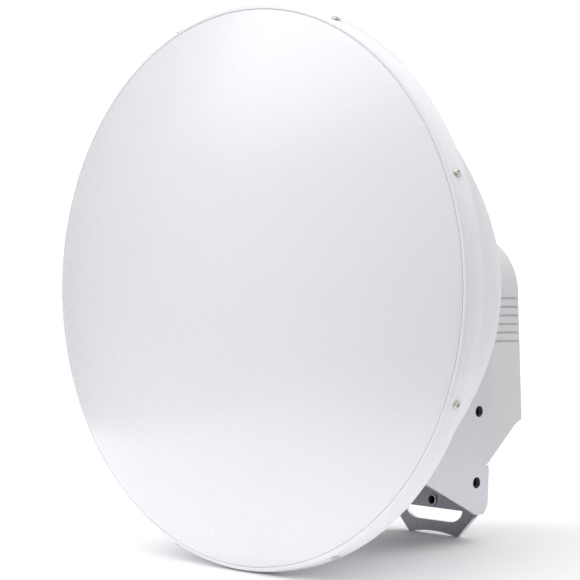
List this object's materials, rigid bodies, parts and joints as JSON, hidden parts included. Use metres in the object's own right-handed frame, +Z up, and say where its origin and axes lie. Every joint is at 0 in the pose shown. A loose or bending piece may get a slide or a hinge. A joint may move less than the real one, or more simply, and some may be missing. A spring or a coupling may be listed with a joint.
{
  "type": "parabolic dish antenna",
  "caption": "Radome-covered parabolic dish antenna with a sheet-metal pole bracket and a vented radio housing on its back.",
  "frame": {"origin": "centre of the bounding box on the floor that the antenna stands on, under the back of the dish", "axes": "+Z up; -Y the way the dish faces, in plan; +X to the right seen from the front, normal to the right side plate"},
  "size_m": [0.378, 0.2828, 0.378],
  "materials": {
    "radome": "smooth satin white moulded plastic",
    "reflector": "satin light grey powder coat on spun aluminium",
    "bracket": "zinc-plated pressed sheet steel",
    "housing": "fine-grained light grey moulded plastic",
    "fasteners": "plain stainless steel"
  },
  "bodies": {
    "root": {"radome": "radome", "reflector": "reflector", "rim_screw_1": "fasteners", "rim_screw_2": "fasteners", "rim_screw_3": "fasteners", "rim_screw_4": "fasteners", "rim_screw_5": "fasteners", "rim_screw_6": "fasteners", "rim_screw_7": "fasteners", "rim_screw_8": "fasteners", "hub_plate": "bracket", "hub_bolt_1": "fasteners", "hub_bolt_2": "fasteners", "hub_bolt_3": "fasteners", "hub_bolt_4": "fasteners", "side_plate_left": "bracket", "side_plate_right": "bracket", "foot_plate": "bracket", "ground_insert": "fasteners", "housing_cover": "housing", "housing_back": "housing", "housing_underside": "housing"}
  },
  "joints": []
}
